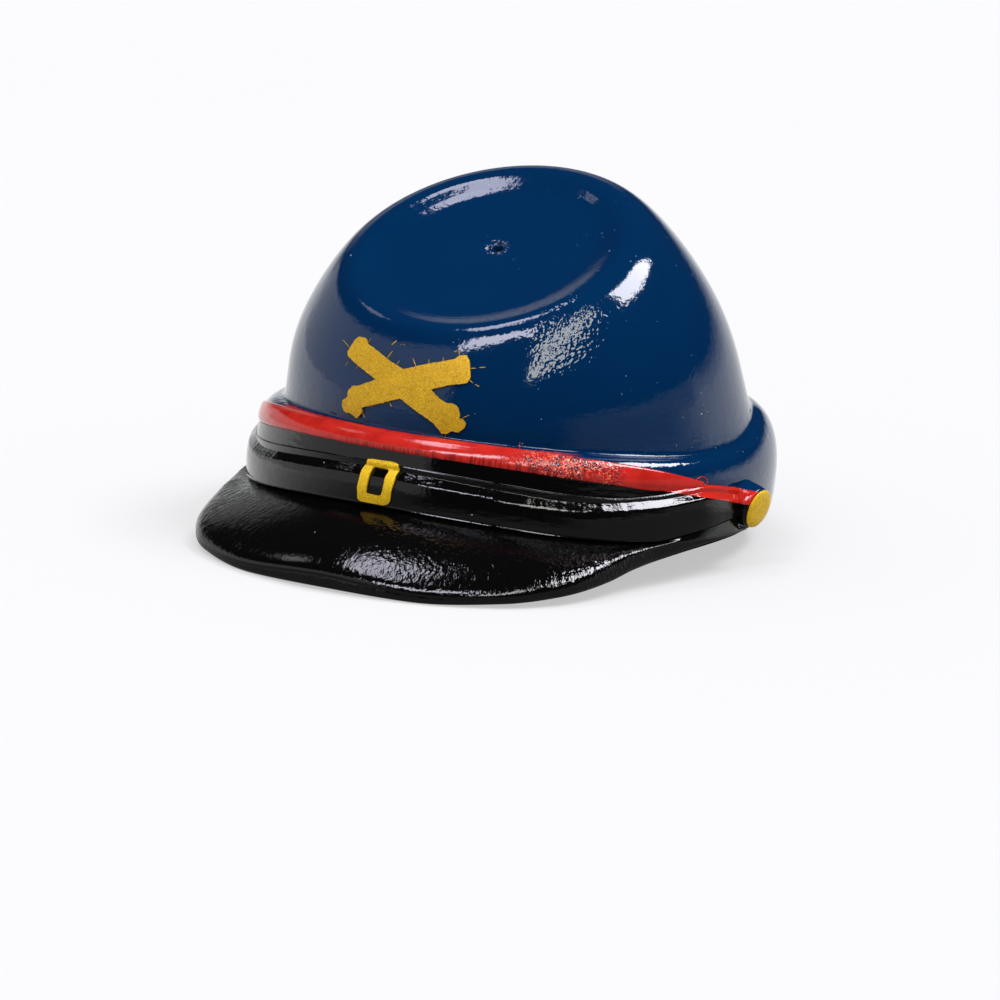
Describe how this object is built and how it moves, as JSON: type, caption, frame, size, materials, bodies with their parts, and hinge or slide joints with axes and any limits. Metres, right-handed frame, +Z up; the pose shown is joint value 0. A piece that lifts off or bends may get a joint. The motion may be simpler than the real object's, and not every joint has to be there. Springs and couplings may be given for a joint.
{
  "type": "kepi cap",
  "caption": "Moulded kepi cap of a toy figure: leaning round crown, thick rolled base, peak, piping, chin strap with buckle and side buttons, crossed cannon badge.",
  "frame": {"origin": "centre of the bottom of the bounding box, on the surface the cap stands on", "axes": "+Z up, -Y towards the tip of the peak, +X towards the wearer's left"},
  "size_m": [0.0138, 0.0152, 0.0088],
  "materials": {
    "navy_plastic": "gloss",
    "black_gloss": "gloss",
    "black_paint": "gloss paint",
    "red_paint": "gloss",
    "gold_buckle": "metallic flake paint",
    "gold_badge": "metallic flake paint",
    "gold_side_button_left": "metallic flake paint",
    "gold_side_button_right": "metallic flake paint"
  },
  "bodies": {
    "root": {"crown_shell": "navy_plastic", "peak": "black_gloss", "chin_strap": "black_paint", "piping": "red_paint", "buckle": "gold_buckle", "crossed_cannons": "gold_badge", "side_button_left": "gold_side_button_left", "side_button_right": "gold_side_button_right"}
  },
  "joints": []
}
